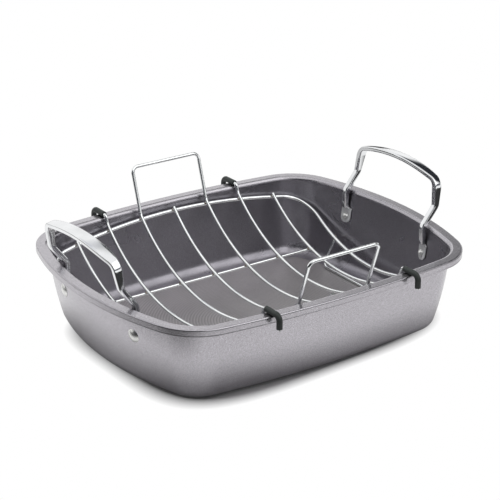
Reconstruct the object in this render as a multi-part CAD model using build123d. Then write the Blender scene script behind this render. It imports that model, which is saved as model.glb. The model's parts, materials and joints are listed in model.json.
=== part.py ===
"""Roasting pan with a lift-out wire rack.

Millimetres, +Z up. X runs along the pan, Y across it, and the origin is the
middle of the face that the pan stands on. The pan, its two handles and their
rivets are one body. The wire rack and the sleeves on its hooks are the other,
and it hangs on the pan's rim by four hooks.
"""

from build123d import *
from math import asin, atan2, cos, degrees, hypot, radians, sin, sqrt, tan
import os

# Pan

pan_length = 432.0
pan_width = 344.5
pan_height = 93.5
end_bow = 40.8
side_bow = 20.1
corner_radius = 62.6
sheet = 1.2
lip_drop = 7.4
lip_bend = 1.6
rim_width = 12.9
neck_bend = 4.5
upper_draft = 4.8
lower_draft = 15.2
wall_break_share = 0.476
wall_bend_share = 4.064
floor_cove = 14.0
floor_land = 1.5

# Pan handles

handle_spread_share = 0.4023
tab_width = 14.0
tab_thick = 2.5
tab_corner = 6.0
tab_drop = 40.0
tab_length = 20.0
leg_width = 8.4
leg_thick = 4.4
post_inset = 26.3
elbow_inset = 9.5
elbow_rise = 21.0
handle_lean = 8.0
handle_reach = 41.0
grip_drop = 13.0
grip_thick = 5.5
grip_outer_bow = 5.5
grip_inner_bow = 4.5
grip_corner = 9.0
grip_inner_corner = 7.0
leg_bend = 6.0
leg_join = 8.0
handle_edge = 1.0
edge_tolerance = 0.5

# Rivets

rivet_drop = 32.7
rivet_shank = 5.0
rivet_clearance = 0.1
rivet_head = 15.0
rivet_head_rise = 2.8
rivet_tail = 8.0
rivet_tail_rise = 3.2
rivet_seat = 0.5
rivet_tail_gap = 0.4

# Rack

frame_wire = 4.5
rib_wire = 4.0
thin_wire = 3.2
weld_gap = 0.15
cradle_rim_inset = 17.52
cradle_lift = 24.5
frame_end_inset = 40.4
frame_end_lift = 22.7
frame_end_radius = 192.2
frame_side_inset = 20.95
frame_side_bow = 16.7
frame_corner_length = 25.2
frame_corner_width = 49.6
end_bay = 40.6
bay_share = 1 / 3
rib_overhang = 2.5
stringer_spread_share = 0.3919
stringer_overhang = 2.0

# Hooks and lifting loops

hook_lean = 22.0
hook_wall_gap = 3.0
hook_rest = 0.3
hook_stand_off = 9.7
hook_drop = 12.0
hook_kink = 8.0
hook_inner_bend = 4.0
hook_outer_bend = 6.5
sleeve_outside = 6.4
sleeve_clearance = 0.05
sleeve_start = 12.8
sleeve_bare_tip = 1.5
loop_lean = 18.2
loop_rise = 47.0
loop_inset = 4.1
loop_kink = 8.0
loop_corner = 7.0

# Feet

foot_spread_share = 0.4209
foot_slope = 60.0
foot_gap = 0.4
foot_corner = 8.0
foot_lap = 2.0

# Length by which a cutting shape runs past what it cuts

overrun = 10.0


def circle_meeting(first, first_radius, second, second_radius):
    """The point where two circles cross, on the right of the line from the
    first centre to the second"""
    apart_x = second[0] - first[0]
    apart_y = second[1] - first[1]
    apart = hypot(apart_x, apart_y)
    along = (apart**2 + first_radius**2 - second_radius**2) / (2 * apart)
    aside = sqrt(first_radius**2 - along**2)
    x = first[0] + (along * apart_x - aside * apart_y) / apart
    y = first[1] + (along * apart_y + aside * apart_x) / apart
    return x, y


# Outline of the rim: a shallow arc on each side, joined by tangent corners

end_radius = ((pan_width / 2) ** 2 + end_bow**2) / (2 * end_bow)
side_radius = ((pan_length / 2) ** 2 + side_bow**2) / (2 * side_bow)
end_centre = pan_length / 2 - end_radius
side_centre = pan_width / 2 - side_radius
corner_x, corner_y = circle_meeting(
    (end_centre, 0), end_radius - corner_radius,
    (0, side_centre), side_radius - corner_radius)
end_angle = degrees(atan2(corner_y, corner_x - end_centre))
side_angle = degrees(atan2(corner_y - side_centre, corner_x))

rim_arcs = [
    ((end_centre, 0), end_radius, -end_angle, 2 * end_angle),
    ((corner_x, corner_y), corner_radius, end_angle, side_angle - end_angle),
    ((0, side_centre), side_radius, side_angle, 180 - 2 * side_angle),
    ((-corner_x, corner_y), corner_radius, 180 - side_angle, side_angle - end_angle),
    ((-end_centre, 0), end_radius, 180 - end_angle, 2 * end_angle),
    ((-corner_x, -corner_y), corner_radius, 180 + end_angle, side_angle - end_angle),
    ((0, -side_centre), side_radius, 180 + side_angle, 180 - 2 * side_angle),
    ((corner_x, -corner_y), corner_radius, 360 - side_angle, side_angle - end_angle),
]


# The wall is two straight stretches joined by one large bend. A layer of it is
# named by its depth behind the wall's outer face

wall_break = pan_height * wall_break_share
wall_bend = pan_height * wall_bend_share
upper_slope = radians(upper_draft)
lower_slope = radians(lower_draft)
break_z = pan_height - wall_break
break_inset = rim_width + wall_break * tan(upper_slope)
break_rise = (1 / cos(lower_slope) - 1 / cos(upper_slope)) / (tan(lower_slope) - tan(upper_slope))


def upper_inset(height, depth):
    """How far the wall's upper stretch, carried on, lies inside the rim's edge"""
    return rim_width + (pan_height - height) * tan(upper_slope) + depth / cos(upper_slope)


def lower_inset(height, depth):
    """How far the wall's lower stretch, carried on, lies inside the rim's edge"""
    return break_inset + (break_z - height) * tan(lower_slope) + depth / cos(lower_slope)


def wall_slope(height, depth):
    """The wall's angle from upright at a height, for a layer of it"""
    centre_z = break_z + wall_bend * break_rise
    share = (centre_z - height) / (wall_bend - depth)
    return min(max(asin(min(share, 1)), upper_slope), lower_slope)


def wall_inset(height, depth):
    """How far a layer of the wall lies inside the rim's edge at a height"""
    slope = wall_slope(height, depth)
    if slope == upper_slope:
        return upper_inset(height, depth)
    if slope == lower_slope:
        return lower_inset(height, depth)
    centre_z = break_z + wall_bend * break_rise
    centre_inset = upper_inset(centre_z, wall_bend)
    return centre_inset - sqrt((wall_bend - depth) ** 2 - (height - centre_z) ** 2)


def rim_end_x(y, inset):
    """X of the end arc, drawn in by inset, at this distance from the middle"""
    return end_centre + sqrt((end_radius - inset) ** 2 - y**2)


def rim_side_y(x, inset):
    """Y of the side arc, drawn in by inset, at this distance from the middle"""
    return side_centre + sqrt((side_radius - inset) ** 2 - x**2)


def bar(path, section, side):
    """A section carried along straight and round edges, each tangent to the
    last. The section's X keeps to the side direction"""
    pieces = []
    for edge in path:
        start = edge @ 0
        heading = edge % 0
        face = Plane(origin=start, x_dir=side, z_dir=heading) * section
        if edge.geom_type == GeomType.LINE:
            pieces.append(extrude(face, edge.length))
        else:
            centre = edge.arc_center
            spindle = Axis(centre, (start - centre).cross(heading))
            pieces.append(revolve(face, spindle, degrees(edge.length / edge.radius)))
    return Part() + pieces


def revolved(section, centre, start, sweep):
    """A section in radius and height, turned about an upright axis"""
    turn = radians(start)
    plane = Plane(
        origin=(centre[0], centre[1], 0),
        x_dir=(cos(turn), sin(turn), 0),
        z_dir=(sin(turn), -cos(turn), 0))
    axis = Axis((centre[0], centre[1], 0), (0, 0, 1))
    return revolve(plane * section, axis, sweep)


def wall_corner(depth):
    """The corner between the wall's two stretches, for a layer of it"""
    height = break_z + depth * break_rise
    return upper_inset(height, depth), height


def shell_section(radius, floor_inset):
    """The bent sheet from the lip's edge to the floor, at an arc's radius"""
    half = sheet / 2
    top = pan_height - half
    corner_inset, corner_z = wall_corner(half)
    path = FilletPolyline(
        (radius - half, pan_height - lip_drop),
        (radius - half, top),
        (radius - upper_inset(top, half), top),
        (radius - corner_inset, corner_z),
        (radius - lower_inset(half, half), half),
        (radius - floor_inset, half),
        radius=[lip_bend - half, neck_bend - half, wall_bend - half, floor_cove + half])
    return trace(path, sheet)


def make_pan_shell():
    """One sheet drawn into a tub with a flat rim and a turned-down lip"""
    turn = radians(90 - lower_draft)
    cove_reach = (floor_cove + sheet / 2) * tan(turn / 2)
    floor_inset = lower_inset(sheet / 2, sheet / 2) + cove_reach + floor_land
    sides = [
        revolved(shell_section(radius, floor_inset), centre, start, sweep)
        for centre, radius, start, sweep in rim_arcs]
    edge = Wire([
        CenterArc(centre, radius - floor_inset, start, sweep)
        for centre, radius, start, sweep in rim_arcs])
    return extrude(make_face(edge), sheet) + sides


# Places on the end wall that the handles and rivets share

handle_y = pan_width * handle_spread_share / 2
post_x = rim_end_x(0, post_inset)
elbow_x = rim_end_x(0, elbow_inset)
elbow_z = pan_height + elbow_rise
rivet_z = pan_height - rivet_drop


def make_tab():
    """The flat foot of a leg, bent to lie on the inside of the end wall"""
    low = pan_height - tab_drop
    middle = sheet + tab_thick / 2
    corner_inset, corner_z = wall_corner(middle)
    path = FilletPolyline(
        (end_radius - upper_inset(pan_height, middle), pan_height),
        (end_radius - corner_inset, corner_z),
        (end_radius - lower_inset(0, middle), 0),
        radius=wall_bend - middle)
    layer = revolved(trace(path, tab_thick), (end_centre, 0), -end_angle, 2 * end_angle)
    face = Rectangle(tab_width, tab_length)
    face = fillet(face.vertices().group_by(Axis.Y)[0], tab_corner)
    front = Plane(origin=(0, handle_y, low + tab_length / 2), x_dir=(0, 1, 0), z_dir=(1, 0, 0))
    return layer & extrude(front * face, pan_length)


def make_leg():
    """The post, the dog-leg over the rim and the start of the upper leg"""
    lean = radians(handle_lean)
    low = rivet_z + rivet_tail / 2 + rivet_tail_gap
    side = Plane(origin=(0, handle_y, 0), x_dir=(1, 0, 0), z_dir=(0, -1, 0))
    path = side * FilletPolyline(
        (post_x, low),
        (post_x, pan_height),
        (elbow_x, elbow_z),
        (elbow_x + leg_join * sin(lean), elbow_z + leg_join * cos(lean)),
        radius=leg_bend)
    return bar(path.edges(), RectangleRounded(leg_width, leg_thick, handle_edge), (0, 1, 0))


def make_grip():
    """The upper legs and the arched grip, cut from one block: its front view
    is an arch and its plan is a lens"""
    lean = radians(handle_lean)
    outward = (cos(lean), 0, -sin(lean))
    upward = (sin(lean), 0, cos(lean))
    elbow = (elbow_x, 0, elbow_z)
    outer_y = handle_y + leg_width / 2
    inner_y = handle_y - leg_width / 2
    shoulder = handle_reach - grip_drop
    arch = make_face([
        Line((outer_y, leg_join), (outer_y, shoulder)),
        ThreePointArc((outer_y, shoulder), (0, handle_reach), (-outer_y, shoulder)),
        Line((-outer_y, shoulder), (-outer_y, leg_join)),
        Line((-outer_y, leg_join), (-inner_y, leg_join)),
        Line((-inner_y, leg_join), (-inner_y, shoulder - grip_thick)),
        ThreePointArc(
            (-inner_y, shoulder - grip_thick),
            (0, handle_reach - grip_thick),
            (inner_y, shoulder - grip_thick)),
        Line((inner_y, shoulder - grip_thick), (inner_y, leg_join)),
        Line((inner_y, leg_join), (outer_y, leg_join)),
    ])
    shoulders = arch.vertices().filter_by(lambda point: point.Y > shoulder - edge_tolerance)
    outer_points = shoulders.filter_by(lambda point: abs(point.X) > handle_y)
    arch = fillet(outer_points, grip_corner)
    shoulders = arch.vertices().filter_by(lambda point: abs(point.X) < handle_y)
    inner_points = shoulders.filter_by(lambda point: point.Y > leg_join + edge_tolerance)
    inner_points = inner_points.filter_by(lambda point: abs(abs(point.X) - inner_y) < edge_tolerance)
    arch = fillet(inner_points, grip_inner_corner)
    front = Plane(origin=elbow, x_dir=(0, 1, 0), z_dir=outward)
    half = leg_thick / 2
    plan = make_face([
        Line((half, -outer_y), (half, -handle_y)),
        ThreePointArc((half, -handle_y), (half + grip_outer_bow, 0), (half, handle_y)),
        Line((half, handle_y), (half, outer_y)),
        Line((half, outer_y), (-half, outer_y)),
        Line((-half, outer_y), (-half, handle_y)),
        ThreePointArc((-half, handle_y), (-half - grip_inner_bow, 0), (-half, -handle_y)),
        Line((-half, -handle_y), (-half, -outer_y)),
        Line((-half, -outer_y), (half, -outer_y)),
    ])
    above = Plane(origin=elbow, x_dir=outward, z_dir=upward)
    reach = leg_thick + grip_outer_bow + grip_inner_bow
    grip = extrude(front * arch, reach, both=True) & extrude(above * plan, handle_reach + overrun)
    long_edges = grip.edges().filter_by(lambda edge: edge.length > leg_width + edge_tolerance)
    return fillet(long_edges, handle_edge)


def make_handle(shell):
    """The right handle: two tabs, two legs and the grip in one casting"""
    leg = make_leg()
    bow = make_grip() + leg + mirror(leg, Plane.XZ)
    tab = make_tab()
    return bow + tab + mirror(tab, Plane.XZ) - shell


def rivet_plane():
    """Plane on the wall's outer face at a rivet, with Z pointing outwards"""
    slope = wall_slope(rivet_z, 0)
    x = rim_end_x(handle_y, wall_inset(rivet_z, 0))
    round_ = atan2(handle_y, x - end_centre)
    outward = (cos(slope) * cos(round_), cos(slope) * sin(round_), -sin(slope))
    return Plane(origin=(x, handle_y, rivet_z), x_dir=(0, 0, 1), z_dir=outward)


def rivet_hole():
    """The hole through the wall and a tab"""
    drill = Cylinder(rivet_shank / 2 + rivet_clearance, 2 * (sheet + tab_thick + overrun))
    return rivet_plane() * drill


def dome(width, rise, skirt):
    """Half section of a round head: a cap on a skirt that reaches below zero"""
    half = width / 2
    ball = (half**2 + rise**2) / (2 * rise)
    middle = ball * sin(asin(half / ball) / 2)
    return make_face([
        Line((0, -skirt), (half, -skirt)),
        Line((half, -skirt), (half, 0)),
        ThreePointArc((half, 0), (middle, rise - ball + sqrt(ball**2 - middle**2)), (0, rise)),
        Line((0, rise), (0, -skirt)),
    ])


def make_rivet(shell, handle):
    """A rivet with a broad low head outside and a small round tail inside"""
    place = rivet_plane()
    depth = sheet + tab_thick
    upright = Plane.XZ
    head = revolve(upright * dome(rivet_head, rivet_head_rise, rivet_seat), Axis.Z)
    tail = revolve(upright * dome(rivet_tail, rivet_tail_rise, rivet_seat), Axis.Z)
    tail = Pos(0, 0, -depth) * Rot(180, 0, 0) * tail
    shank = Pos(0, 0, -depth / 2) * Cylinder(rivet_shank / 2, depth)
    return place * (head + tail + shank) - shell - handle


# Wires: a path is a list of straight and round edges, each tangent to the last

cradle_rise = pan_height - cradle_lift
cradle_radius = ((pan_width / 2 - cradle_rim_inset) ** 2 + cradle_rise**2) / (2 * cradle_rise)
cradle_z = cradle_lift + cradle_radius
frame_radius = cradle_radius + (rib_wire + frame_wire) / 2 + weld_gap
stringer_radius = cradle_radius + (rib_wire + thin_wire) / 2 + weld_gap
frame_end_x = pan_length / 2 - frame_end_inset
outer_rib_x = frame_end_x - end_bay
rib_pitch = outer_rib_x * bay_share
hook_x = 2 * rib_pitch
loop_x = rib_pitch


def rod(path, diameter):
    """Round wire along a path"""
    return bar(path, Circle(diameter / 2), None)


def cradle_point(x, angle, radius):
    """A point of the cradle's cylinder, at an angle from straight below"""
    return Vector(x, radius * sin(angle), cradle_z - radius * cos(angle))


def cradle_arc(x, start, end, radius):
    """An arc round the cradle's cylinder, across the rack"""
    middle = (start + end) / 2
    return ThreePointArc(
        cradle_point(x, start, radius),
        cradle_point(x, middle, radius),
        cradle_point(x, end, radius))


def mirrored(piece):
    """A piece and its copies on the other ends and sides, joined"""
    half = piece + mirror(piece, Plane.YZ)
    return half + mirror(half, Plane.XZ)


# The frame's long side: a flat arc whose middle and ends lie on the cylinder

frame_side_y = pan_width / 2 - frame_side_inset
side_run_x = frame_end_x - frame_corner_length
side_middle_angle = asin(frame_side_y / frame_radius)
side_middle = cradle_point(0, side_middle_angle, frame_radius)
side_end_angle = side_middle_angle - 2 * asin(frame_side_bow / 2 / frame_radius)
side_end = cradle_point(side_run_x, side_end_angle, frame_radius)
side_chord = hypot(side_end.Y - side_middle.Y, side_end.Z - side_middle.Z)
side_wire_radius = (side_run_x**2 + side_chord**2) / (2 * side_chord)
side_drop = (side_end - Vector(side_run_x, side_middle.Y, side_middle.Z)) / side_chord


def end_bar_point(angle):
    """A point of the end bar, at an angle round its own arc from the lowest"""
    rise = frame_end_radius * (1 - cos(angle))
    return Vector(frame_end_x, frame_end_radius * sin(angle), frame_end_lift + rise)


def side_wire_point(x):
    """A point of the long side wire"""
    bow = side_wire_radius - sqrt(side_wire_radius**2 - x**2)
    return Vector(x, side_middle.Y, side_middle.Z) + side_drop * bow


def side_wire_angle(x):
    """Where the long side wire lies round the cradle's cylinder"""
    point = side_wire_point(x)
    return atan2(point.Y, cradle_z - point.Z)


def corner_arcs(start, start_heading, end, end_heading):
    """Two arcs of equal tangent length that join two headings in space"""
    apart = end - start
    both = start_heading + end_heading
    square = both.dot(both) - 4
    half = apart.dot(both)
    reach = (half - sqrt(half**2 - square * apart.dot(apart))) / square
    joint = (start + start_heading * reach + end - end_heading * reach) / 2
    first = TangentArc(start, joint, tangent=start_heading)
    second = TangentArc(joint, end, tangent=first % 1)
    return [first, second]


def make_frame():
    """The closed rim wire of the rack"""
    end_turn = asin((frame_side_y - frame_corner_width) / frame_end_radius)
    end_bar = ThreePointArc(end_bar_point(0), end_bar_point(end_turn / 2), end_bar_point(end_turn))
    lead = sqrt(side_wire_radius**2 - side_run_x**2) / side_wire_radius
    heading = Vector(-lead, 0, 0) - side_drop * (side_run_x / side_wire_radius)
    corner = corner_arcs(end_bar @ 1, end_bar % 1, side_end, heading)
    middle = side_wire_point(side_run_x / 2)
    side_bar = ThreePointArc(side_end, middle, side_middle)
    return mirrored(rod([end_bar] + corner + [side_bar], frame_wire))


def make_rib(x):
    """A plain rib: an arc that lies in the frame from side to side"""
    reach = side_wire_angle(abs(x)) + rib_overhang / cradle_radius
    return rod([cradle_arc(x, -reach, reach, cradle_radius)], rib_wire)


def rib_and_kink(x, lean, foot, kink):
    """Half a rib and the bend that turns it up into a straight leg: the leg
    leans out by this angle and passes through the foot point"""
    along_y = sin(radians(lean))
    along_z = cos(radians(lean))
    offset = -foot[0] * -along_z + (cradle_z - foot[1]) * along_y
    inward = cradle_radius - kink
    aside = kink - offset
    along = -sqrt(inward**2 - aside**2)
    centre_y = along * along_y - aside * along_z
    centre_z = cradle_z + along * along_z + aside * along_y
    turn = atan2(centre_y, cradle_z - centre_z)
    rib = cradle_arc(x, 0, turn, cradle_radius)
    leg_start = Vector(x, centre_y + kink * along_z, centre_z - kink * along_y)
    return [rib, TangentArc(rib @ 1, leg_start, tangent=rib % 1)]


rest_z = pan_height + hook_rest + sleeve_outside / 2
hook_y = rim_side_y(hook_x, 0) + hook_stand_off


def hook_path():
    """Half of a hooked rib: up the wall, over the rim and down outside it"""
    foot = (rim_side_y(hook_x, wall_inset(pan_height, sheet)) - hook_wall_gap, pan_height)
    bent = rib_and_kink(hook_x, hook_lean, foot, hook_kink)
    crook_y = foot[0] + (rest_z - pan_height) * tan(radians(hook_lean))
    hook = FilletPolyline(
        bent[-1] @ 1,
        (hook_x, crook_y, rest_z),
        (hook_x, hook_y, rest_z),
        (hook_x, hook_y, pan_height - hook_drop),
        radius=[hook_inner_bend, hook_outer_bend])
    return bent + list(hook.edges())


def make_hook_rib():
    """A rib whose two ends are hooks"""
    half = rod(hook_path(), rib_wire)
    return half + mirror(half, Plane.XZ)


def make_sleeve():
    """A soft tube on a hook, from the rim's inner edge nearly to the tip"""
    start = rim_side_y(hook_x, sleeve_start)
    tip = pan_height - hook_drop + sleeve_bare_tip
    path = FilletPolyline(
        (hook_x, start, rest_z), (hook_x, hook_y, rest_z), (hook_x, hook_y, tip),
        radius=hook_outer_bend)
    bore = rib_wire + 2 * sleeve_clearance
    return rod(path.edges(), sleeve_outside) - rod(path.edges(), bore)


def make_lifting_wire():
    """One closed wire: two ribs and the two lifting loops that join them"""
    top_z = pan_height + loop_rise
    top_y = rim_side_y(loop_x, loop_inset)
    foot = (top_y - loop_rise * tan(radians(loop_lean)), pan_height)
    bent = rib_and_kink(loop_x, loop_lean, foot, loop_kink)
    loop = FilletPolyline(
        bent[-1] @ 1, (loop_x, top_y, top_z), (0, top_y, top_z), radius=loop_corner)
    return mirrored(rod(bent + list(loop.edges()), rib_wire))


def make_stringer():
    """A straight wire under the ribs"""
    y = pan_width * stringer_spread_share / 2
    z = cradle_z - sqrt(stringer_radius**2 - y**2)
    reach = outer_rib_x + stringer_overhang
    return rod([Line((-reach, y, z), (reach, y, z))], thin_wire)


def make_foot():
    """A bent wire that stands under the frame's end bar"""
    y = pan_width * foot_spread_share / 2
    slope = radians(foot_slope)
    bar_turn = asin(y / frame_end_radius)
    skew = sqrt((sin(slope) * cos(bar_turn)) ** 2 + cos(slope) ** 2) / cos(bar_turn)
    beside = ((frame_wire + thin_wire) / 2 + weld_gap) * skew
    x = frame_end_x + beside * sin(slope)
    z = end_bar_point(bar_turn).Z - beside * cos(slope)
    low = sheet + foot_gap + thin_wire / 2
    low_x = x - (z - low) / tan(slope)
    top_x = x + foot_lap * cos(slope)
    top_z = z + foot_lap * sin(slope)
    path = FilletPolyline(
        (top_x, y, top_z), (low_x, y, low), (low_x, -y, low), (top_x, -y, top_z),
        radius=foot_corner)
    return rod(path.edges(), thin_wire)


def build_pan():
    """The pan's pieces, by name"""
    hole = rivet_hole()
    holes = mirrored(hole)
    solid_shell = make_pan_shell()
    shell = solid_shell - holes
    right = make_handle(solid_shell) - holes
    rivet = make_rivet(shell, right)
    return {
        "pan_shell": shell,
        "right_handle": right,
        "left_handle": mirror(right, Plane.YZ),
        "right_rear_rivet": rivet,
        "right_front_rivet": mirror(rivet, Plane.XZ),
        "left_rear_rivet": mirror(rivet, Plane.YZ),
        "left_front_rivet": mirror(mirror(rivet, Plane.YZ), Plane.XZ),
    }


def build_rack():
    """The rack's pieces, by name"""
    hook_rib = make_hook_rib()
    stringer = make_stringer()
    foot = make_foot()
    sleeve = make_sleeve()
    return {
        "rack_frame": make_frame(),
        "left_rib": make_rib(-outer_rib_x),
        "middle_rib": make_rib(0),
        "right_rib": make_rib(outer_rib_x),
        "right_hook_rib": hook_rib,
        "left_hook_rib": mirror(hook_rib, Plane.YZ),
        "lifting_wire": make_lifting_wire(),
        "rear_stringer": stringer,
        "front_stringer": mirror(stringer, Plane.XZ),
        "right_foot": foot,
        "left_foot": mirror(foot, Plane.YZ),
        "right_rear_sleeve": sleeve,
        "right_front_sleeve": mirror(sleeve, Plane.XZ),
        "left_rear_sleeve": mirror(sleeve, Plane.YZ),
        "left_front_sleeve": mirror(mirror(sleeve, Plane.YZ), Plane.XZ),
    }


os.makedirs("parts", exist_ok=True)
for name, piece in {**build_pan(), **build_rack()}.items():
    export_step(piece, f"parts/{name}.step")
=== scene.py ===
"""Looks, light and camera for a roasting pan with a lift-out wire rack.

Metres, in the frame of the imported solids: X runs along the pan, Y across it and Z up.
"""

import json

import bmesh
import bpy
import numpy as np
from mathutils import Matrix, Vector


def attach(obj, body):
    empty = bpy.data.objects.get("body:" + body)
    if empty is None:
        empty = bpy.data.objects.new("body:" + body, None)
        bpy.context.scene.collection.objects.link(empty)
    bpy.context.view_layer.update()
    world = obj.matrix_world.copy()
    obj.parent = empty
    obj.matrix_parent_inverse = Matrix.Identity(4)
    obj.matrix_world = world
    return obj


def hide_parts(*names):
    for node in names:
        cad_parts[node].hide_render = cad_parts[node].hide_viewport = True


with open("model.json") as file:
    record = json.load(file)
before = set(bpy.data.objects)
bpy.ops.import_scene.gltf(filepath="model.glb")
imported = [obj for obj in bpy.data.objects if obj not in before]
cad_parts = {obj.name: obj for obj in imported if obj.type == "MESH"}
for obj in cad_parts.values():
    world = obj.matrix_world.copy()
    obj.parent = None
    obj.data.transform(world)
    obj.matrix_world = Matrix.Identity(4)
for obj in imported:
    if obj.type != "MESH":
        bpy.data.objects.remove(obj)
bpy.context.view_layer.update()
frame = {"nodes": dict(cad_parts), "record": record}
nodes = frame["nodes"]

# Sizes that the solids have, in metres

PAN_LENGTH, PAN_WIDTH, PAN_HEIGHT = 0.432, 0.3445, 0.0935
END_BOW, SIDE_BOW, CORNER_RADIUS = 0.0408, 0.0201, 0.0626
SHEET, RIM_WIDTH = 0.0012, 0.0129
UPPER_SLOPE, LOWER_SLOPE = np.radians(4.8), np.radians(15.2)
WALL_BREAK, WALL_BEND = 0.0445, 0.38
FLOOR_COVE = 0.014
CRADLE_RADIUS, CRADLE_LIFT = 0.208, 0.0245
RIB_WIRE, FRAME_WIRE, THIN_WIRE, WELD_GAP = 0.004, 0.0045, 0.0032, 0.00015
RIB_PITCH, RIBS_ASIDE, STRINGER_Y = 0.045, 3, 0.0675
FRAME_SIDE_Y, FRAME_SIDE_BOW, SIDE_RUN_X = 0.1513, 0.0167, 0.1504
FRAME_END_X, FRAME_END_Z, FRAME_END_RADIUS = 0.1756, 0.0227, 0.1922
FOOT_Y, FOOT_SLOPE = 0.0725, np.radians(60)
TAB_LOW, TAB_HIGH, TAB_HALF, TAB_THICK = 0.0535, 0.0735, 0.007, 0.0025
HANDLE_Y, POST_X, ELBOW_X, ELBOW_Z = 0.0693, 0.1897, 0.2065, 0.1145
HANDLE_LEAN = np.radians(8)

END_RADIUS = ((PAN_WIDTH / 2) ** 2 + END_BOW**2) / (2 * END_BOW)
SIDE_RADIUS = ((PAN_LENGTH / 2) ** 2 + SIDE_BOW**2) / (2 * SIDE_BOW)
END_CENTRE = PAN_LENGTH / 2 - END_RADIUS
SIDE_CENTRE = PAN_WIDTH / 2 - SIDE_RADIUS
CRADLE_Z = CRADLE_LIFT + CRADLE_RADIUS


# Meshes

MERGE_WITHIN = 0.000002


def make_piece(name, points, faces, body, finish):
    """A smooth-shaded piece from arrays of points and of quads. The faces are turned to look away
    from what they enclose, or from the origin on an open sheet, by the sign of the volume that they
    span with the origin: the sum of their corners' triple products. Points that lie together are
    joined, which closes poles and seams"""
    first, second, third, fourth = points[faces].transpose(1, 0, 2)
    volume = (first * (np.cross(second, third) + np.cross(third, fourth))).sum()
    if volume < 0:
        faces = faces[:, ::-1]
    mesh = bpy.data.meshes.new(name)
    mesh.from_pydata(points.tolist(), [], faces.tolist())
    mesh.shade_smooth()
    mesh.materials.append(finish)
    joined = bmesh.new()
    joined.from_mesh(mesh)
    bmesh.ops.remove_doubles(joined, verts=joined.verts, dist=MERGE_WITHIN)
    joined.to_mesh(mesh)
    joined.free()
    piece = bpy.data.objects.new(name, mesh)
    bpy.context.scene.collection.objects.link(piece)
    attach(piece, body)
    return piece


def ring_faces(rows, cols):
    """Quads between neighbouring rings of a tube, as four index columns; a quad whose ring is
    shrunk to a point closes the end"""
    row, col = np.meshgrid(np.arange(rows - 1), np.arange(cols), indexing="ij")
    near, far = row * cols + col, (row + 1) * cols + col
    turn = (col + 1) % cols
    return np.stack([near, row * cols + turn, (row + 1) * cols + turn, far], -1).reshape(-1, 4)


def unit(vectors):
    """Vectors of an array brought to length one"""
    return vectors / np.linalg.norm(vectors, axis=-1, keepdims=True)


def ease(value, low, high):
    """A smooth step from 0 at low to 1 at high: 3t^2 - 2t^3"""
    t = np.clip((value - low) / (high - low), 0, 1)
    return t * t * (3 - 2 * t)


# Places on the pan

SLOPE_STEP = 0.00001


def wall_inset(height):
    """How far the wall's inner face lies inside the rim's edge at a height: two straight
    stretches joined by a large arc"""
    break_z = PAN_HEIGHT - WALL_BREAK
    spread = 1 / np.cos(LOWER_SLOPE) - 1 / np.cos(UPPER_SLOPE)
    centre_z = break_z + WALL_BEND * spread / (np.tan(LOWER_SLOPE) - np.tan(UPPER_SLOPE))
    break_inset = RIM_WIDTH + WALL_BREAK * np.tan(UPPER_SLOPE)
    upper = RIM_WIDTH + (PAN_HEIGHT - height) * np.tan(UPPER_SLOPE) + SHEET / np.cos(UPPER_SLOPE)
    lower = break_inset + (break_z - height) * np.tan(LOWER_SLOPE) + SHEET / np.cos(LOWER_SLOPE)
    centre_inset = RIM_WIDTH + (PAN_HEIGHT - centre_z) * np.tan(UPPER_SLOPE) + WALL_BEND / np.cos(UPPER_SLOPE)
    reach = WALL_BEND - SHEET
    arc = centre_inset - np.sqrt(np.maximum(reach**2 - (height - centre_z) ** 2, 0))
    slope = np.arcsin(np.clip((centre_z - height) / reach, -1, 1))
    return np.where(slope <= UPPER_SLOPE, upper, np.where(slope >= LOWER_SLOPE, lower, arc))


def wall_face(y, height):
    """Points of the end wall's inner face at a place across and at heights, and its outward
    direction there: its horizontal section is an arc of the end's radius less the inset"""
    radius = END_RADIUS - wall_inset(height)
    x = END_CENTRE + np.sqrt(radius**2 - y**2)
    drawn_in = wall_inset(height - SLOPE_STEP) - wall_inset(height + SLOPE_STEP)
    slope = np.arctan(drawn_in / (2 * SLOPE_STEP))
    turn = np.arcsin(y / radius)
    outward = np.stack([np.cos(slope) * np.cos(turn), np.cos(slope) * np.sin(turn), -np.sin(slope)], -1)
    return np.stack([x, y + 0 * x, height], -1), outward


def outline_reach(angle, inset):
    """Distance from the middle to the pan's outline, drawn in by inset, in each direction: the
    nearest of the end arc, the side arc and, past its start, the corner arc"""
    c, s = np.abs(np.cos(angle)), np.abs(np.sin(angle))

    def to_circle(cx, cy, radius):
        along = c * cx + s * cy
        return along + np.sqrt(np.maximum(along**2 - cx**2 - cy**2 + radius**2, 0))

    end = to_circle(END_CENTRE, 0, END_RADIUS - inset)
    side = to_circle(0, SIDE_CENTRE, SIDE_RADIUS - inset)
    apart = np.hypot(END_CENTRE, SIDE_CENTRE)
    first, second = END_RADIUS - CORNER_RADIUS, SIDE_RADIUS - CORNER_RADIUS
    along = (apart**2 + first**2 - second**2) / (2 * apart)
    aside = np.sqrt(first**2 - along**2)
    to_x, to_y = -END_CENTRE / apart, SIDE_CENTRE / apart
    corner_x = END_CENTRE + along * to_x - aside * to_y
    corner_y = along * to_y + aside * to_x
    corner = to_circle(corner_x, corner_y, CORNER_RADIUS - inset)
    reach = np.minimum(end, side)
    x, y = reach * c, reach * s
    past_end = (y - corner_y) * (corner_x - END_CENTRE) - (x - corner_x) * corner_y > 0
    past_side = (x - corner_x) * (corner_y - SIDE_CENTRE) - (y - corner_y) * corner_x > 0
    return np.where(past_end & past_side, np.minimum(corner, reach), reach)


# Node work that the finishes and the studio share; a Mix node's colour sockets go by number

COLOUR_A, COLOUR_B, COLOUR_OUT = 6, 7, 2


def node_calls(tree):
    """The calls that add nodes to a tree, with their values, and join them"""
    def add(kind, **values):
        node = tree.nodes.new(kind)
        for key, value in values.items():
            if key in node.inputs:
                node.inputs[key].default_value = value
            else:
                setattr(node, key, value)
        return node

    return add, tree.links.new


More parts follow.
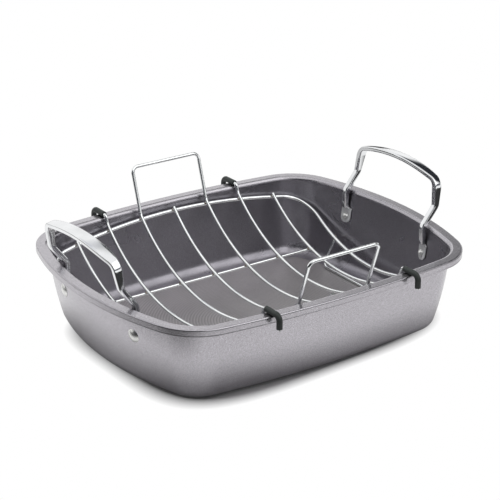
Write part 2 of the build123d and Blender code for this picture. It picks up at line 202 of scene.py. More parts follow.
def new_finish(name):
    """An empty material with a shader, and the calls for its nodes"""
    finish = bpy.data.materials.new(name)
    finish.use_nodes = True
    add, join = node_calls(finish.node_tree)
    return finish, finish.node_tree.nodes["Principled BSDF"], add, join


def feed(join, value, socket):
    """Joins another node's socket to this one, or sets a plain value on it"""
    if isinstance(value, bpy.types.NodeSocket):
        join(value, socket)
    else:
        socket.default_value = value


def worked(add, join, operation, *values):
    """A sum, product or other work on values"""
    node = add("ShaderNodeMath", operation=operation)
    for value, socket in zip(values, node.inputs):
        feed(join, value, socket)
    return node.outputs[0]


def towards(add, join, vector, direction):
    """How far a vector reaches in a direction"""
    node = add("ShaderNodeVectorMath", operation="DOT_PRODUCT")
    feed(join, vector, node.inputs[0])
    feed(join, direction, node.inputs[1])
    return node.outputs["Value"]


def ranged(add, join, value, low, high, from_low=0.3, from_high=0.7):
    """A value carried from one range to another. Unless given, the first is the one that noise fills"""
    node = add("ShaderNodeMapRange")
    for key, number in (("From Min", from_low), ("From Max", from_high), ("To Min", low), ("To Max", high)):
        node.inputs[key].default_value = number
    join(value, node.inputs["Value"])
    return node.outputs["Result"]


def mixed(add, join, share, first, second, way="MIX"):
    """Two colours brought together as far as a share says"""
    node = add("ShaderNodeMix", data_type="RGBA", blend_type=way)
    feed(join, share, node.inputs["Factor"])
    feed(join, first, node.inputs[COLOUR_A])
    feed(join, second, node.inputs[COLOUR_B])
    return node.outputs[COLOUR_OUT]


def either_shader(add, join, share, first, second):
    """Two shaders mixed by a share"""
    node = add("ShaderNodeMixShader")
    for value, socket in zip((share, first, second), node.inputs):
        join(value, socket)
    return node.outputs[0]


def grain(add, join, grains, detail, harshness):
    """Noise on the object's own metres, at so many grains a metre"""
    noise = add("ShaderNodeTexNoise", Scale=grains, Detail=detail, Roughness=harshness)
    join(add("ShaderNodeTexCoord").outputs["Object"], noise.inputs["Vector"])
    return noise.outputs["Fac"]


def tinted(add, join, value, dark, pale, low=0.35, high=0.65):
    """A colour between two, led by a value"""
    ramp = add("ShaderNodeValToRGB")
    for element, position, colour in zip(ramp.color_ramp.elements, (low, high), (dark, pale)):
        element.position, element.color = position, (*colour, 1)
    join(value, ramp.inputs["Fac"])
    return ramp.outputs["Color"]


def relief(add, join, height, distance, base=None):
    """The normal of a fine relief, laid over another relief's normal if one is given"""
    bump = add("ShaderNodeBump", Strength=1.0, Distance=distance)
    join(height, bump.inputs["Height"])
    if base:
        join(base, bump.inputs["Normal"])
    return bump.outputs["Normal"]


# The baked coat of the pan; each grain is its grains a metre, detail and harshness

COAT_DARK, COAT_PALE, COAT_SPREAD = (0.385, 0.372, 0.393), (0.59, 0.57, 0.61), (0.38, 0.66)
COAT_ROUGHNESS, COAT_METALLIC = 0.23, 0.9
COAT_SPECKLE, CLOUD = (1150, 3.0, 0.7), (22, 2.0, 0.5)
SPECKLE_RELIEF, CLOUD_ROUGHNESS = 0.00002, 0.03
# Inner faces: the colour is painted shade, a darker tone for the inside of the pan where less light reaches;
# the roughness dulls the inside
INNER_PAINTED_SHADE, INNER_ROUGHNESS = (0.685, 0.68, 0.705), 0.06
LEVEL_COUNTS, INNER_FADE, INNER_EDGES = 0.12, 0.03, (0.004, 0.0008)
# Painted shade in corners and crevices: how far occlusion is looked for, how dark it makes the colour, and
# over what openness
CREVICE_REACH, CREVICE_PAINTED_SHADE, CREVICE_SPREAD = 0.008, 0.62, (0.35, 0.85)
LIP_LOW, LIP_FLARE = 0.0872, 0.0006
TURNED_DARK, TURNED_PALE, TURNED_SPECKLE = (0.39, 0.375, 0.38), (0.53, 0.51, 0.515), (900, 3.0, 0.7)
TURNED_ROUGHNESS, TURNED_METALLIC = (0.36, 0.44), 0.85
# The rings' pitch, and how far the painted sheen on them swings the tone either way
RING_PITCH, RING_SHEEN_DEPTH = 0.0033, 0.12


def inner_side(add, join, place):
    """1 on the pan's inner faces and 0 on its outer ones and the rim's top, told by the way a
    face looks: inwards or up, and below the rim"""
    split = add("ShaderNodeSeparateXYZ")
    join(place, split.inputs[0])
    away = add("ShaderNodeCombineXYZ", Z=-LEVEL_COUNTS)
    join(split.outputs["X"], away.inputs["X"])
    join(split.outputs["Y"], away.inputs["Y"])
    facing = towards(add, join, add("ShaderNodeNewGeometry").outputs["Normal"], away.outputs[0])
    inwards = ranged(add, join, facing, 1.0, 0.0, -INNER_FADE, 0.0)
    edges = (PAN_HEIGHT - depth for depth in INNER_EDGES)
    below = ranged(add, join, split.outputs["Z"], 1.0, 0.0, *edges)
    return worked(add, join, "MULTIPLY", inwards, below)


def nonstick_finish():
    """Satin coat with a fine metallic speckle and faint clouding. Painted shade makes it darker inside the
    pan, and darker still in its corners and crevices, by ambient occlusion. A relief by height flares the lip"""
    finish, shader, add, join = new_finish("nonstick coat")
    place = add("ShaderNodeTexCoord").outputs["Object"]
    speckle = grain(add, join, *COAT_SPECKLE)
    inside = inner_side(add, join, place)
    colour = tinted(add, join, speckle, COAT_DARK, COAT_PALE, *COAT_SPREAD)
    # Painted shade: the inside of the pan is darkened by a tone multiplied into its colour
    colour = mixed(add, join, inside, colour, (*INNER_PAINTED_SHADE, 1), "MULTIPLY")
    # Painted shade: ambient occlusion darkens the colour under the lip, beside the tabs and in other crevices
    openness = add("ShaderNodeAmbientOcclusion", Distance=CREVICE_REACH).outputs["AO"]
    shade = ranged(add, join, openness, CREVICE_PAINTED_SHADE, 1.0, *CREVICE_SPREAD)
    join(mixed(add, join, 1.0, colour, shade, "MULTIPLY"), shader.inputs["Base Color"])
    clouded = ranged(add, join, grain(add, join, *CLOUD), COAT_ROUGHNESS - CLOUD_ROUGHNESS,
                     COAT_ROUGHNESS + CLOUD_ROUGHNESS)
    duller = ranged(add, join, inside, 0.0, INNER_ROUGHNESS, 0.0, 1.0)
    join(worked(add, join, "ADD", clouded, duller), shader.inputs["Roughness"])
    shader.inputs["Metallic"].default_value = COAT_METALLIC
    lip = ranged(add, join, towards(add, join, place, (0, 0, 1)), 0.0, 1.0, LIP_LOW, PAN_HEIGHT)
    flare = relief(add, join, lip, LIP_FLARE)
    join(relief(add, join, speckle, SPECKLE_RELIEF, flare), shader.inputs["Normal"])
    return finish


def turned_finish():
    """The coat on the turned floor, which spreads light more than the walls do, with a painted sheen on its
    rings: a ripple of tone by radius that stands in for their light and dark reflections"""
    finish, shader, add, join = new_finish("turned coat")
    speckle = grain(add, join, *TURNED_SPECKLE)
    reach = add("ShaderNodeVectorMath", operation="LENGTH")
    join(add("ShaderNodeTexCoord").outputs["Object"], reach.inputs[0])
    turns = worked(add, join, "MULTIPLY", reach.outputs["Value"], 2 * np.pi / RING_PITCH)
    # Painted sheen: a ripple of tone with the radius, in place of the light and dark that the turned rings
    # reflect
    painted_ring_sheen = ranged(add, join, worked(add, join, "SINE", turns), 1 - RING_SHEEN_DEPTH, 1 + RING_SHEEN_DEPTH, -1.0, 1.0)
    colour = tinted(add, join, speckle, TURNED_DARK, TURNED_PALE)
    join(mixed(add, join, 1.0, colour, painted_ring_sheen, "MULTIPLY"), shader.inputs["Base Color"])
    join(ranged(add, join, grain(add, join, *CLOUD), *TURNED_ROUGHNESS), shader.inputs["Roughness"])
    shader.inputs["Metallic"].default_value = TURNED_METALLIC
    join(relief(add, join, speckle, SPECKLE_RELIEF), shader.inputs["Normal"])
    return finish


# Bright metals: tone, roughness and polishing marks a metre

CASTING, RIVET_METAL, BRIGHT_WIRE = (
    ((0.84, 0.85, 0.86), 0.07, 120),
    ((0.85, 0.85, 0.83), 0.3, 400),
    ((0.9, 0.92, 0.92), 0.15, 300),
)
MARK_DETAIL, MARK_HARSHNESS, MARK_RELIEF = 4.0, 0.6, 0.000001
MARK_SMOOTH_SHARE, MARK_ROUGH_SHARE = 0.8, 1.5
WEAR, WEAR_DARK_SHARE, WEAR_PALE_SHARE = (35, 3.0, 0.5), 0.93, 1.04
SATIN_ROUGHNESS, SATIN_METALLIC, SATIN_FADE = 0.42, 0.45, 0.002
CUT_TONE, CUT_SHARES = 0.12, (0.6, 0.9)


def polished_finish(name, tone, roughness, marks_a_metre):
    """Bright metal with faint polishing marks and wear"""
    finish, shader, add, join = new_finish(name)
    marks = grain(add, join, marks_a_metre, MARK_DETAIL, MARK_HARSHNESS)
    dark = tuple(c * WEAR_DARK_SHARE for c in tone)
    pale = tuple(min(1.0, c * WEAR_PALE_SHARE) for c in tone)
    join(tinted(add, join, grain(add, join, *WEAR), dark, pale), shader.inputs["Base Color"])
    marked = ranged(add, join, marks, roughness * MARK_SMOOTH_SHARE, roughness * MARK_ROUGH_SHARE)
    join(marked, shader.inputs["Roughness"])
    shader.inputs["Metallic"].default_value = 1.0
    join(relief(add, join, marks, MARK_RELIEF), shader.inputs["Normal"])
    return finish


def with_satin_tabs(finish):
    """Leaves a casting satin up to the top of its tabs"""
    shader = finish.node_tree.nodes["Principled BSDF"]
    add, join = node_calls(finish.node_tree)
    height = towards(add, join, add("ShaderNodeTexCoord").outputs["Object"], (0, 0, 1))
    satin = ranged(add, join, height, 1.0, 0.0, TAB_HIGH - SATIN_FADE, TAB_HIGH + SATIN_FADE)
    polished = shader.inputs["Roughness"].links[0].from_socket
    duller = ranged(add, join, satin, 0.0, SATIN_ROUGHNESS, 0.0, 1.0)
    join(worked(add, join, "MAXIMUM", polished, duller), shader.inputs["Roughness"])
    join(ranged(add, join, satin, 1.0, SATIN_METALLIC, 0.0, 1.0), shader.inputs["Metallic"])
    return finish


def with_dull_ends(finish):
    """Leaves the cut ends of a plain rib dull. The rib is an arc of radius R about the cradle's axis
    at height Z, so that n_y (Z - z) + n_z y is R or -R on its ends, and 0 on the wire's side"""
    shader = finish.node_tree.nodes["Principled BSDF"]
    add, join = node_calls(finish.node_tree)
    split = add("ShaderNodeSeparateXYZ")
    join(add("ShaderNodeTexCoord").outputs["Object"], split.inputs[0])
    along = add("ShaderNodeCombineXYZ")
    join(worked(add, join, "SUBTRACT", CRADLE_Z, split.outputs["Z"]), along.inputs["Y"])
    join(split.outputs["Y"], along.inputs["Z"])
    facing = towards(add, join, add("ShaderNodeNewGeometry").outputs["Normal"], along.outputs[0])
    edges = (share * CRADLE_RADIUS for share in CUT_SHARES)
    cut = ranged(add, join, worked(add, join, "ABSOLUTE", facing), 0.0, 1.0, *edges)
    polished = shader.inputs["Base Color"].links[0].from_socket
    dull = mixed(add, join, cut, polished, (CUT_TONE, CUT_TONE, CUT_TONE, 1), "MULTIPLY")
    join(dull, shader.inputs["Base Color"])
    return finish


# Rubber sleeves and weld metal

RUBBER_DARK, RUBBER_PALE, RUBBER_ROUGHNESS = (0.016, 0.02, 0.019), (0.03, 0.036, 0.033), (0.48, 0.6)
RUBBER_GRAIN, RUBBER_RELIEF = (1500, 3.0, 0.6), 0.00003
WELD_DARK, WELD_PALE, WELD_ROUGHNESS = (0.16, 0.10, 0.06), (0.42, 0.37, 0.33), (0.3, 0.5)
WELD_PATCHES, WELD_RELIEF, WELD_METALLIC = (400, 3.0, 0.5), 0.00005, 0.9


def grained_finish(name, grained, tones, roughness, depth, metallic=0.0):
    """A finish whose colour, roughness and relief all follow one grain"""
    finish, shader, add, join = new_finish(name)
    fine = grain(add, join, *grained)
    join(tinted(add, join, fine, *tones), shader.inputs["Base Color"])
    join(ranged(add, join, fine, *roughness), shader.inputs["Roughness"])
    shader.inputs["Metallic"].default_value = metallic
    join(relief(add, join, fine, depth), shader.inputs["Normal"])
    return finish


def sleeve_finish():
    """Matt grey-green rubber"""
    tones = RUBBER_DARK, RUBBER_PALE
    return grained_finish("sleeve rubber", RUBBER_GRAIN, tones, RUBBER_ROUGHNESS, RUBBER_RELIEF)


def weld_finish():
    """Heat-tinted weld metal, brown to blue grey"""
    tones = WELD_DARK, WELD_PALE
    return grained_finish("weld tint", WELD_PATCHES, tones, WELD_ROUGHNESS, WELD_RELIEF, WELD_METALLIC)


# Finishes on the solids

coat = nonstick_finish()
turned_coat = turned_finish()
casting = with_satin_tabs(polished_finish("polished casting", *CASTING))
rivet_metal = polished_finish("rivet metal", *RIVET_METAL)
bright_wire = polished_finish("bright wire", *BRIGHT_WIRE)
rib_wire = with_dull_ends(polished_finish("rib wire", *BRIGHT_WIRE))
rubber = sleeve_finish()
weld_tint = weld_finish()

FINISH_OF_SLOT = {
    "nonstick_coat": coat, "polished_cast": casting, "rivet_metal": rivet_metal,
    "bright_wire": bright_wire, "sleeve_rubber": rubber,
}
PLAIN_RIBS = ("left_rib", "middle_rib", "right_rib")

for part in frame["record"]["subparts"]:
    mesh = nodes[part["node"]].data
    mesh.materials.clear()
    mesh.materials.append(FINISH_OF_SLOT[part["material_slot"]])
for name in PLAIN_RIBS:
    nodes[name].data.materials[0] = rib_wire


# Handles: a rounded profile carried from one tab over the grip to the other

LEG_HALF_WIDTH, LEG_HALF_THICK, SHOULDER_HALF_THICK, LEG_BEND = 0.0037, 0.0033, 0.0045, 0.010
GRIP_HALF_THICK, ARCH_RADIUS, ARCH_TOP, SHOULDER_BEND = 0.00275, 0.25, 0.03825, 0.0105
ARCH_CENTRE = ARCH_TOP - ARCH_RADIUS
OUTER_BOW, INNER_BOW, LENS_POWER = 0.0032, 0.0022, 4
DRAWN_IN, DRAWN_RISE = 0.04, 0.03
TAB_POWER, LEG_POWER, GRIP_POWER = 2.4, 3.6, 6.0
THIN_TURN = 1.15
TAB_START, TAB_LEAST_HALF, TAB_STEP, ARC_GAP = 0.00002, 0.0001, 0.002, 0.0005
TAB_END_STEPS, TAB_STEPS, SHOULDER_STEPS, ARCH_STEPS, AROUND = 14, 6, 14, 60, 40
LEG_STEP, LEAST_STEPS = 0.0008, 4


def rounded_path(corners, radius, spacing):
    """Points and headings along straight runs whose corners are arcs of one radius"""
    corners = np.asarray(corners, float)
    heading = unit(np.diff(corners, axis=0))
    points, headings = [corners[0]], [heading[0]]
    for i in range(1, len(corners) - 1):
        turn = np.arccos(np.clip(heading[i - 1] @ heading[i], -1, 1))
        start = corners[i] - heading[i - 1] * radius * np.tan(turn / 2)
        inward = unit(heading[i] - heading[i - 1] * np.cos(turn))
        angle = np.linspace(0, turn, max(int(radius * turn / spacing), LEAST_STEPS))[:, None]
        points += list(start + radius * (np.sin(angle) * heading[i - 1] + (1 - np.cos(angle)) * inward))
        headings += list(np.cos(angle) * heading[i - 1] + np.sin(angle) * inward)
    points.append(corners[-1])
    headings.append(heading[-1])
    return np.array(points), np.array(headings)


def tab_stations():
    """Sections up the tab, against the wall: centre, outward and sideways directions, half sizes
    along these and superellipse power. The half width closes over the round end as
    half (1 - drop^n)^(1/n), where drop runs from 0 at the end's top to 1 at its foot"""
    share = 1 - np.cos(np.linspace(0, np.pi / 2, TAB_END_STEPS))
    round_top = TAB_LOW + TAB_HALF
    straight = np.linspace(round_top + TAB_STEP, TAB_HIGH - TAB_THICK, TAB_STEPS)
    height = np.concatenate([TAB_LOW + TAB_START + share * TAB_HALF, straight])
    face, outward = wall_face(HANDLE_Y, height)
    centre = face - outward * (TAB_THICK / 2)
    side = unit(np.stack([-outward[:, 1], outward[:, 0], 0 * height], -1))
    drop = np.clip((round_top - height) / TAB_HALF, 0, 1)
    wide = TAB_HALF * (1 - drop**TAB_POWER) ** (1 / TAB_POWER) + TAB_LEAST_HALF
    same = np.ones_like(height)
    return centre, outward, side, TAB_THICK / 2 * same, wide, LEG_POWER * same


def leg_stations():
    """Sections up the post and the dog-leg to the start of the shoulder. Above the elbow the leg
    gets deeper and squarer with its height"""
    lean = np.array([np.sin(HANDLE_LEAN), np.cos(HANDLE_LEAN)])
    elbow = np.array([ELBOW_X, ELBOW_Z])
    inner_radius = ARCH_RADIUS - SHOULDER_BEND
    shoulder_start = ARCH_CENTRE + np.sqrt(inner_radius**2 - (HANDLE_Y - SHOULDER_BEND) ** 2)
    corners = [(POST_X, TAB_HIGH), (POST_X, PAN_HEIGHT), elbow, elbow + lean * (shoulder_start - ARC_GAP)]
    path, heading = rounded_path(corners, LEG_BEND, LEG_STEP)
    same = np.ones(len(path))
    centre = np.stack([path[:, 0], HANDLE_Y * same, path[:, 1]], -1)
    outward = np.stack([heading[:, 1], 0 * same, -heading[:, 0]], -1)
    side = np.tile([0.0, 1.0, 0.0], (len(path), 1))
    risen = np.clip((path[:, 1] - ELBOW_Z) / (path[-1, 1] - ELBOW_Z), 0, 1)
    deep = LEG_HALF_THICK + (SHOULDER_HALF_THICK - LEG_HALF_THICK) * risen
    power = LEG_POWER + (GRIP_POWER - LEG_POWER) * risen
    return centre, outward, side, deep, LEG_HALF_WIDTH * same, power


def grip_stations():
    """Sections round the shoulder's arc and along the arch to the grip's middle, worked in the
    handle's own leaning plane of across and up. The grip is a lens: it bows outwards and inwards
    by 1 - (across / half spread)^4"""
    inner_radius = ARCH_RADIUS - SHOULDER_BEND
    bend_y = HANDLE_Y - SHOULDER_BEND
    bend_rise = ARCH_CENTRE + np.sqrt(inner_radius**2 - bend_y**2)
    meet = np.arcsin(bend_y / inner_radius)
    bend = np.linspace(0, np.pi / 2 - meet, SHOULDER_STEPS)
    arch = np.linspace(meet, 0, ARCH_STEPS)[1:]
    arch_rise = ARCH_CENTRE + ARCH_RADIUS * np.cos(arch)
    across = np.concatenate([bend_y + SHOULDER_BEND * np.cos(bend), ARCH_RADIUS * np.sin(arch)])
    above = np.concatenate([bend_rise + SHOULDER_BEND * np.sin(bend), arch_rise])
    turn = np.concatenate([bend, np.pi / 2 - arch])
    outward = np.array([np.cos(HANDLE_LEAN), 0, -np.sin(HANDLE_LEAN)])
    upward = np.array([np.sin(HANDLE_LEAN), 0, np.cos(HANDLE_LEAN)])
    sideways = np.array([0.0, 1.0, 0.0])
    lens = np.clip(1 - (across / HANDLE_Y) ** LENS_POWER, 0, 1)
    shift = (OUTER_BOW - INNER_BOW) / 2 * lens
    foot = np.array([ELBOW_X, 0, ELBOW_Z])
    centre = foot + across[:, None] * sideways + above[:, None] * upward + shift[:, None] * outward
    side = np.cos(turn)[:, None] * sideways + np.sin(turn)[:, None] * upward
    deep = SHOULDER_HALF_THICK + (OUTER_BOW + INNER_BOW) / 2 * lens
    thin = LEG_HALF_WIDTH + (GRIP_HALF_THICK - LEG_HALF_WIDTH) * ease(turn, 0.0, THIN_TURN)
    return centre, np.tile(outward, (len(across), 1)), side, deep, thin, np.full(len(across), GRIP_POWER)


def make_handle(name, replaced, mirror):
    """One casting. Each section is a superellipse |u/a|^n + |v/b|^n = 1 on the path's own
    outward and sideways directions. Above the elbows the half is drawn in towards the middle,
    and the other half is its mirror image. Both ends close in a point"""
    stations = zip(tab_stations(), leg_stations(), grip_stations())
    centre, outward, side, deep, wide, power = (np.concatenate(group) for group in stations)
    angle = np.linspace(0, 2 * np.pi, AROUND, endpoint=False)
    rounding = 2 / power[:, None]
    u = np.sign(np.cos(angle)) * np.abs(np.cos(angle)) ** rounding
    v = np.sign(np.sin(angle)) * np.abs(np.sin(angle)) ** rounding
    half = (centre[:, None] + outward[:, None] * (deep[:, None] * u)[..., None]
            + side[:, None] * (wide[:, None] * v)[..., None])
    half[..., 1] *= 1 - DRAWN_IN * ease(half[..., 2], ELBOW_Z, ELBOW_Z + DRAWN_RISE)
    rings = np.concatenate([half, half[::-1][1:] * np.array([1, -1, 1])])
    first, last = (ring.mean(0) + 0 * ring for ring in (rings[0], rings[-1]))
    rings = np.concatenate([first[None], rings, last[None]]) * np.array([mirror, 1, 1])
    faces = ring_faces(*rings.shape[:2])
    piece = make_piece(name, rings.reshape(-1, 3), faces, "pan", casting)
    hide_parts(replaced)
    return piece


make_handle("right_handle_casting", "right_handle", 1)
make_handle("left_handle_casting", "left_handle", -1)


# Floor of the pan: turned rings in low relief

RING_RELIEF, FLOOR_LIFT, SKIN = 0.00012, 0.00013, 0.0002
RING_STEPS, RING_TURNS = 4, 160
RELIEF_FADE, EDGE_FADE = 0.004, 0.0005


def make_floor_rings():
    """A thin skin on the pan's floor. Height is lift + relief * cos(2 pi r / pitch), on circles
    about the middle that stop at the floor's outline, where points are drawn in to it"""
    cove_reach = (FLOOR_COVE + SHEET) * np.tan((np.pi / 2 - LOWER_SLOPE) / 2)
    edge_inset = float(wall_inset(np.array(0.0)) + cove_reach - SHEET)
    angle = np.linspace(0, 2 * np.pi, RING_TURNS, endpoint=False)
    reach = outline_reach(angle, edge_inset)
    step = RING_PITCH / RING_STEPS
    radius = np.arange(int(reach.max() / step) + 2) * step
    held = np.minimum(radius[:, None], reach)
    room = reach - held
    waves = RING_RELIEF * ease(room, 0.0, RELIEF_FADE) * np.cos(2 * np.pi * held / RING_PITCH)
    height = SHEET + FLOOR_LIFT * ease(room, -EDGE_FADE, EDGE_FADE) + waves
    points = np.stack([held * np.cos(angle), held * np.sin(angle), height], -1)
    inside = radius[:-1, None] < reach
    kept = inside | np.roll(inside, -1, axis=1)
    faces = ring_faces(len(radius), RING_TURNS)[kept.ravel()]
    piece = make_piece("floor_rings", points.reshape(-1, 3), faces, "pan", turned_coat)
    skin = piece.modifiers.new("skin", "SOLIDIFY")
    skin.thickness, skin.offset = SKIN, -1
    return piece


make_floor_rings()


# Weld beads where the rack's wires cross

BEAD_HALF_SIZES = (0.0025, 0.0025, 0.0012)
BEAD_ROWS, BEAD_AROUND = 11, 20
LUMP, LUMPS_ALONG, LUMPS_ACROSS = 0.12, (5, 3), (4, 1)


def side_wire_point(x):
    """A point of the frame's long side wire: a flat arc between points of the cradle's cylinder"""
    radius = CRADLE_RADIUS + (RIB_WIRE + FRAME_WIRE) / 2 + WELD_GAP
    middle_turn = np.arcsin(FRAME_SIDE_Y / radius)
    end_turn = middle_turn - 2 * np.arcsin(FRAME_SIDE_BOW / 2 / radius)
    middle = np.array([radius * np.sin(middle_turn), CRADLE_Z - radius * np.cos(middle_turn)])
    end = np.array([radius * np.sin(end_turn), CRADLE_Z - radius * np.cos(end_turn)])
    chord = np.linalg.norm(end - middle)
    arc = (SIDE_RUN_X**2 + chord**2) / (2 * chord)
    return middle + (end - middle) / chord * (arc - np.sqrt(arc**2 - x**2))


def bead_places():
    """Middle, along, across and normal directions of each bead"""
    contact = CRADLE_RADIUS + RIB_WIRE / 2 + WELD_GAP / 2
    stringer_turn = np.arcsin(STRINGER_Y / (CRADLE_RADIUS + (RIB_WIRE + THIN_WIRE) / 2 + WELD_GAP))
    places = []
    for x in np.arange(-RIBS_ASIDE, RIBS_ASIDE + 1) * RIB_PITCH:
        side_y, side_z = side_wire_point(x)
        for turn in (np.arctan2(side_y, CRADLE_Z - side_z), stringer_turn):
            for sign in (-1, 1):
                y, z = sign * np.sin(turn), -np.cos(turn)
                places.append(((x, contact * y, CRADLE_Z + contact * z), (1, 0, 0), (0, -z, y), (0, y, z)))
    bar_turn = np.arcsin(FOOT_Y / FRAME_END_RADIUS)
    bar_z = FRAME_END_Z + FRAME_END_RADIUS * (1 - np.cos(bar_turn))
    for sign_x in (-1, 1):
        out = np.array([sign_x * np.sin(FOOT_SLOPE), 0, -np.cos(FOOT_SLOPE)])
        leg = np.array([sign_x * np.cos(FOOT_SLOPE), 0, np.sin(FOOT_SLOPE)])
        for sign_y in (-1, 1):
            bar = np.array([sign_x * FRAME_END_X, sign_y * FOOT_Y, bar_z])
            places.append((bar + out * (FRAME_WIRE / 2 + WELD_GAP), leg, np.cross(leg, out), out))
    return [np.array(column, float)[:, None] for column in zip(*places)]


def make_weld_beads():
    """All beads in one piece. Each is a flattened, slightly lumpy ball: semi-axes along, across and
    normal, swelled by 1 + lump sin(5 x + 3) sin(4 y + 1)"""
    middle, along, across, normal = bead_places()
    lat = np.linspace(0, np.pi, BEAD_ROWS)[:, None]
    lon = np.linspace(0, 2 * np.pi, BEAD_AROUND, endpoint=False)
    ball = np.stack([np.sin(lat) * np.cos(lon), np.sin(lat) * np.sin(lon), np.cos(lat) + 0 * lon], -1)
    ball = ball.reshape(-1, 3)
    waves = (np.sin(rate * ball[:, i] + start) for i, (rate, start) in enumerate((LUMPS_ALONG, LUMPS_ACROSS)))
    ball = ball * (1 + LUMP * np.prod(list(waves), axis=0))[:, None] * np.array(BEAD_HALF_SIZES)
    points = middle + ball[:, :1] * along + ball[:, 1:2] * across + ball[:, 2:] * normal
    starts = np.arange(len(middle))[:, None, None] * len(ball)
    faces = (starts + ring_faces(BEAD_ROWS, BEAD_AROUND)).reshape(-1, 4)
    return make_piece("weld_beads", points.reshape(-1, 3), faces, "rack", weld_tint)


make_weld_beads()


# Studio floor: a skewed superellipse where the pan stands, then ways in which metal sees the dark

BASE_MIDDLE = (0.006, -0.003, 0.0)
BASE_HALF_LENGTH, BASE_HALF_WIDTH, BASE_SKEW = 0.18, 0.136, -0.5
BASE_WAYS = ((1 / BASE_HALF_LENGTH, 0.0, 0.0), (BASE_SKEW, 1 / BASE_HALF_WIDTH, 0.0))
BASE_POWER = 4.0
SEEN_REACH, METAL_REACH = (1.0, 1.13), (1.06, 1.42)
FLOOR_TONE, FLOOR_ROUGHNESS, FLOOR_HALF = 0.92, 0.9, 6.0
DARK_LEVEL = 0.04
DARK_WAYS = (
    ((-0.1, -0.995, 0.0), (0.312, 0.335), 1.0),
    ((-0.95, -0.31, 0.0), (0.25, 0.37), 1.0),
    ((0.95, -0.3, 0.0), (0.37, 0.42), 1.0),
    ((0.0, 1.0, 0.0), (0.32, 0.5), 0.4),
)


def base_measure(add, join, place):
    """1 on the outline where the pan stands and more outside it: (|x/a|^4 + |y/b|^4)^(1/4)"""
    moved = add("ShaderNodeVectorMath", operation="SUBTRACT")
    feed(join, place, moved.inputs[0])
    feed(join, BASE_MIDDLE, moved.inputs[1])
    shares = (worked(add, join, "ABSOLUTE", towards(add, join, moved.outputs[0], way)) for way in BASE_WAYS)
    powers = (worked(add, join, "POWER", share, BASE_POWER) for share in shares)
    return worked(add, join, "POWER", worked(add, join, "ADD", *powers), 1 / BASE_POWER)


def make_floor():
    """A pale floor that keeps the pan's shadow round its base and shows white beyond it, to the
    camera and to metal. For metal it turns dark past an edge in front, at both ends and, less so,
    behind, as a studio table does"""
    finish, shader, add, join = new_finish("studio floor")
    shader.inputs["Base Color"].default_value = (FLOOR_TONE, FLOOR_TONE, FLOOR_TONE, 1)
    shader.inputs["Roughness"].default_value = FLOOR_ROUGHNESS
    rays = add("ShaderNodeLightPath").outputs
    place = add("ShaderNodeTexCoord").outputs["Object"]
    measure = base_measure(add, join, place)
    by_metal = worked(add, join, "MAXIMUM", rays["Is Transmission Ray"], rays["Is Glossy Ray"])
    glows = (
        worked(add, join, "MULTIPLY", ray, ranged(add, join, measure, 0.0, 1.0, *reach))
        for ray, reach in ((rays["Is Camera Ray"], SEEN_REACH), (by_metal, METAL_REACH)))
    dark = 0.0
    for way, edge, depth in DARK_WAYS:
        beyond = ranged(add, join, towards(add, join, place, way), 0.0, depth, *edge)
        dark = worked(add, join, "MAXIMUM", dark, beyond)
    dimmed = worked(add, join, "MULTIPLY", dark, by_metal)
    glow = add("ShaderNodeEmission", Color=(1, 1, 1, 1))
    join(ranged(add, join, dimmed, 1.0, DARK_LEVEL, 0.0, 1.0), glow.inputs["Strength"])
    share = worked(add, join, "MAXIMUM", *glows)
    surface = either_shader(add, join, share, shader.outputs[0], glow.outputs[0])
    join(surface, finish.node_tree.nodes["Material Output"].inputs["Surface"])
    mesh = bpy.data.meshes.new("studio_floor")
    corners = [(x * FLOOR_HALF, y * FLOOR_HALF, 0) for x, y in ((-1, -1), (1, -1), (1, 1), (-1, 1))]
    mesh.from_pydata(corners, [], [(0, 1, 2, 3)])
    mesh.materials.append(finish)
    floor = bpy.data.objects.new("studio_floor", mesh)
    bpy.context.scene.collection.objects.link(floor)
    return floor


# Surroundings that metal mirrors: brightness by the sine of the height over the horizon

FRONT_BANDS = ((0.0, 0.05), (0.57, 0.05), (0.69, 1.0))
SIDES = (
    ((0.707, -0.707, 0.0), (0.3, 0.5), ((0.0, 1.0), (0.2, 1.0), (0.26, 0.1), (0.36, 0.1), (0.44, 1.7))),
    ((0.94, 0.34, 0.0), (0.45, 0.6), ((0.0, 1.0), (0.25, 1.0), (0.33, 0.03), (0.72, 0.03), (0.82, 1.0))),
    ((-0.26, 0.966, 0.0), (0.48, 0.57), ((0.0, 1.0), (0.62, 1.0), (0.74, 0.7), (0.86, 1.0))),
)
DARK_TINT = (0.88, 0.95, 1.15)
SOFT_LIGHT = 0.2


def banded(add, join, value, bands):
    """A grey led by a value through a list of places and brightnesses, bluer where it is dark"""
    ramp = add("ShaderNodeValToRGB")
    elements = ramp.color_ramp.elements
    elements[0].position, elements[1].position = bands[0][0], bands[-1][0]
    for position, _ in bands[1:-1]:
        elements.new(position)
    for element, (_, level) in zip(elements, bands):
        element.color = (*(level * (tint + (1 - tint) * min(level, 1)) for tint in DARK_TINT), 1)
    join(value, ramp.inputs["Fac"])
    return ramp.outputs["Color"]


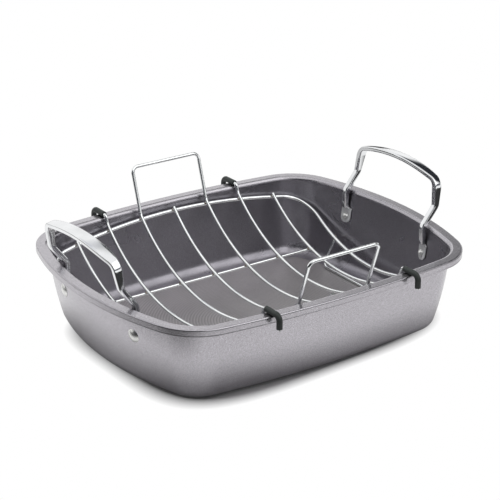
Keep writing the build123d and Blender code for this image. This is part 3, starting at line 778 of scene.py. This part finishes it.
def make_world():
    """White for the camera, and an even soft light for all but metal. Metal sees a dark band under
    a white ceiling in front, and other bands on three sides: front right, back right and back"""
    world = bpy.data.worlds.new("studio")
    bpy.context.scene.world = world
    world.use_nodes = True
    world.node_tree.nodes.clear()
    add, join = node_calls(world.node_tree)
    direction = add("ShaderNodeTexCoord").outputs["Generated"]
    height = towards(add, join, direction, (0, 0, 1))
    bands = banded(add, join, height, FRONT_BANDS)
    for way, edge, side_bands in SIDES:
        aside = ranged(add, join, towards(add, join, direction, way), 0.0, 1.0, *edge)
        bands = mixed(add, join, aside, bands, banded(add, join, height, side_bands))
    metal_light = add("ShaderNodeBackground")
    join(bands, metal_light.inputs["Color"])
    soft_light = add("ShaderNodeBackground", Color=(1, 1, 1, 1), Strength=SOFT_LIGHT)
    white = add("ShaderNodeBackground", Color=(1, 1, 1, 1))
    rays = add("ShaderNodeLightPath").outputs
    lit = either_shader(add, join, rays["Is Glossy Ray"], soft_light.outputs[0], metal_light.outputs[0])
    seen = either_shader(add, join, rays["Is Camera Ray"], lit, white.outputs[0])
    join(seen, add("ShaderNodeOutputWorld").inputs["Surface"])


# Lamp and camera

LAMP_PLACE, LAMP_TARGET, LAMP_WIDTH, LAMP_POWER = (0.05, 0.05, 1.3), (0.05, 0.05, 0.0), 0.9, 16
CAMERA_PLACE = (-1.063388, -1.480618, 0.845056)
CAMERA_TURN, CAMERA_RISE, CAMERA_ROLL = np.radians(35.7215), np.radians(22.6118), np.radians(0.5255)
CAMERA_LENS, SENSOR_WIDTH = 129.852, 36.0
CLIP_NEAR, CLIP_FAR = 0.05, 50.0


def make_lamp():
    """A soft box over the pan that stays out of the metal's reflections"""
    lamp = bpy.data.lights.new("overhead_softbox", "AREA")
    lamp.shape, lamp.size, lamp.size_y, lamp.energy = "RECTANGLE", LAMP_WIDTH, LAMP_WIDTH, LAMP_POWER
    holder = bpy.data.objects.new("overhead_softbox", lamp)
    bpy.context.scene.collection.objects.link(holder)
    holder.location = LAMP_PLACE
    holder.visible_glossy = False
    aim = Vector(LAMP_TARGET) - Vector(LAMP_PLACE)
    holder.rotation_euler = aim.to_track_quat("-Z", "Y").to_euler()
    return holder


def make_camera():
    """The photograph's viewpoint: its place, its turn about the pan from the front, its rise over
    the horizon and its slight roll"""
    camera = bpy.data.cameras.new("camera")
    camera.lens, camera.sensor_width = CAMERA_LENS, SENSOR_WIDTH
    camera.clip_start, camera.clip_end = CLIP_NEAR, CLIP_FAR
    holder = bpy.data.objects.new("camera", camera)
    bpy.context.scene.collection.objects.link(holder)
    turn = Matrix.Rotation(-CAMERA_TURN, 4, "Z")
    rise = Matrix.Rotation(np.pi / 2 - CAMERA_RISE, 4, "X")
    roll = Matrix.Rotation(CAMERA_ROLL, 4, "Z")
    holder.matrix_world = Matrix.Translation(CAMERA_PLACE) @ turn @ rise @ roll
    bpy.context.scene.camera = holder


make_floor()
make_world()
make_lamp()
make_camera()
bpy.context.scene.view_settings.view_transform = "Standard"
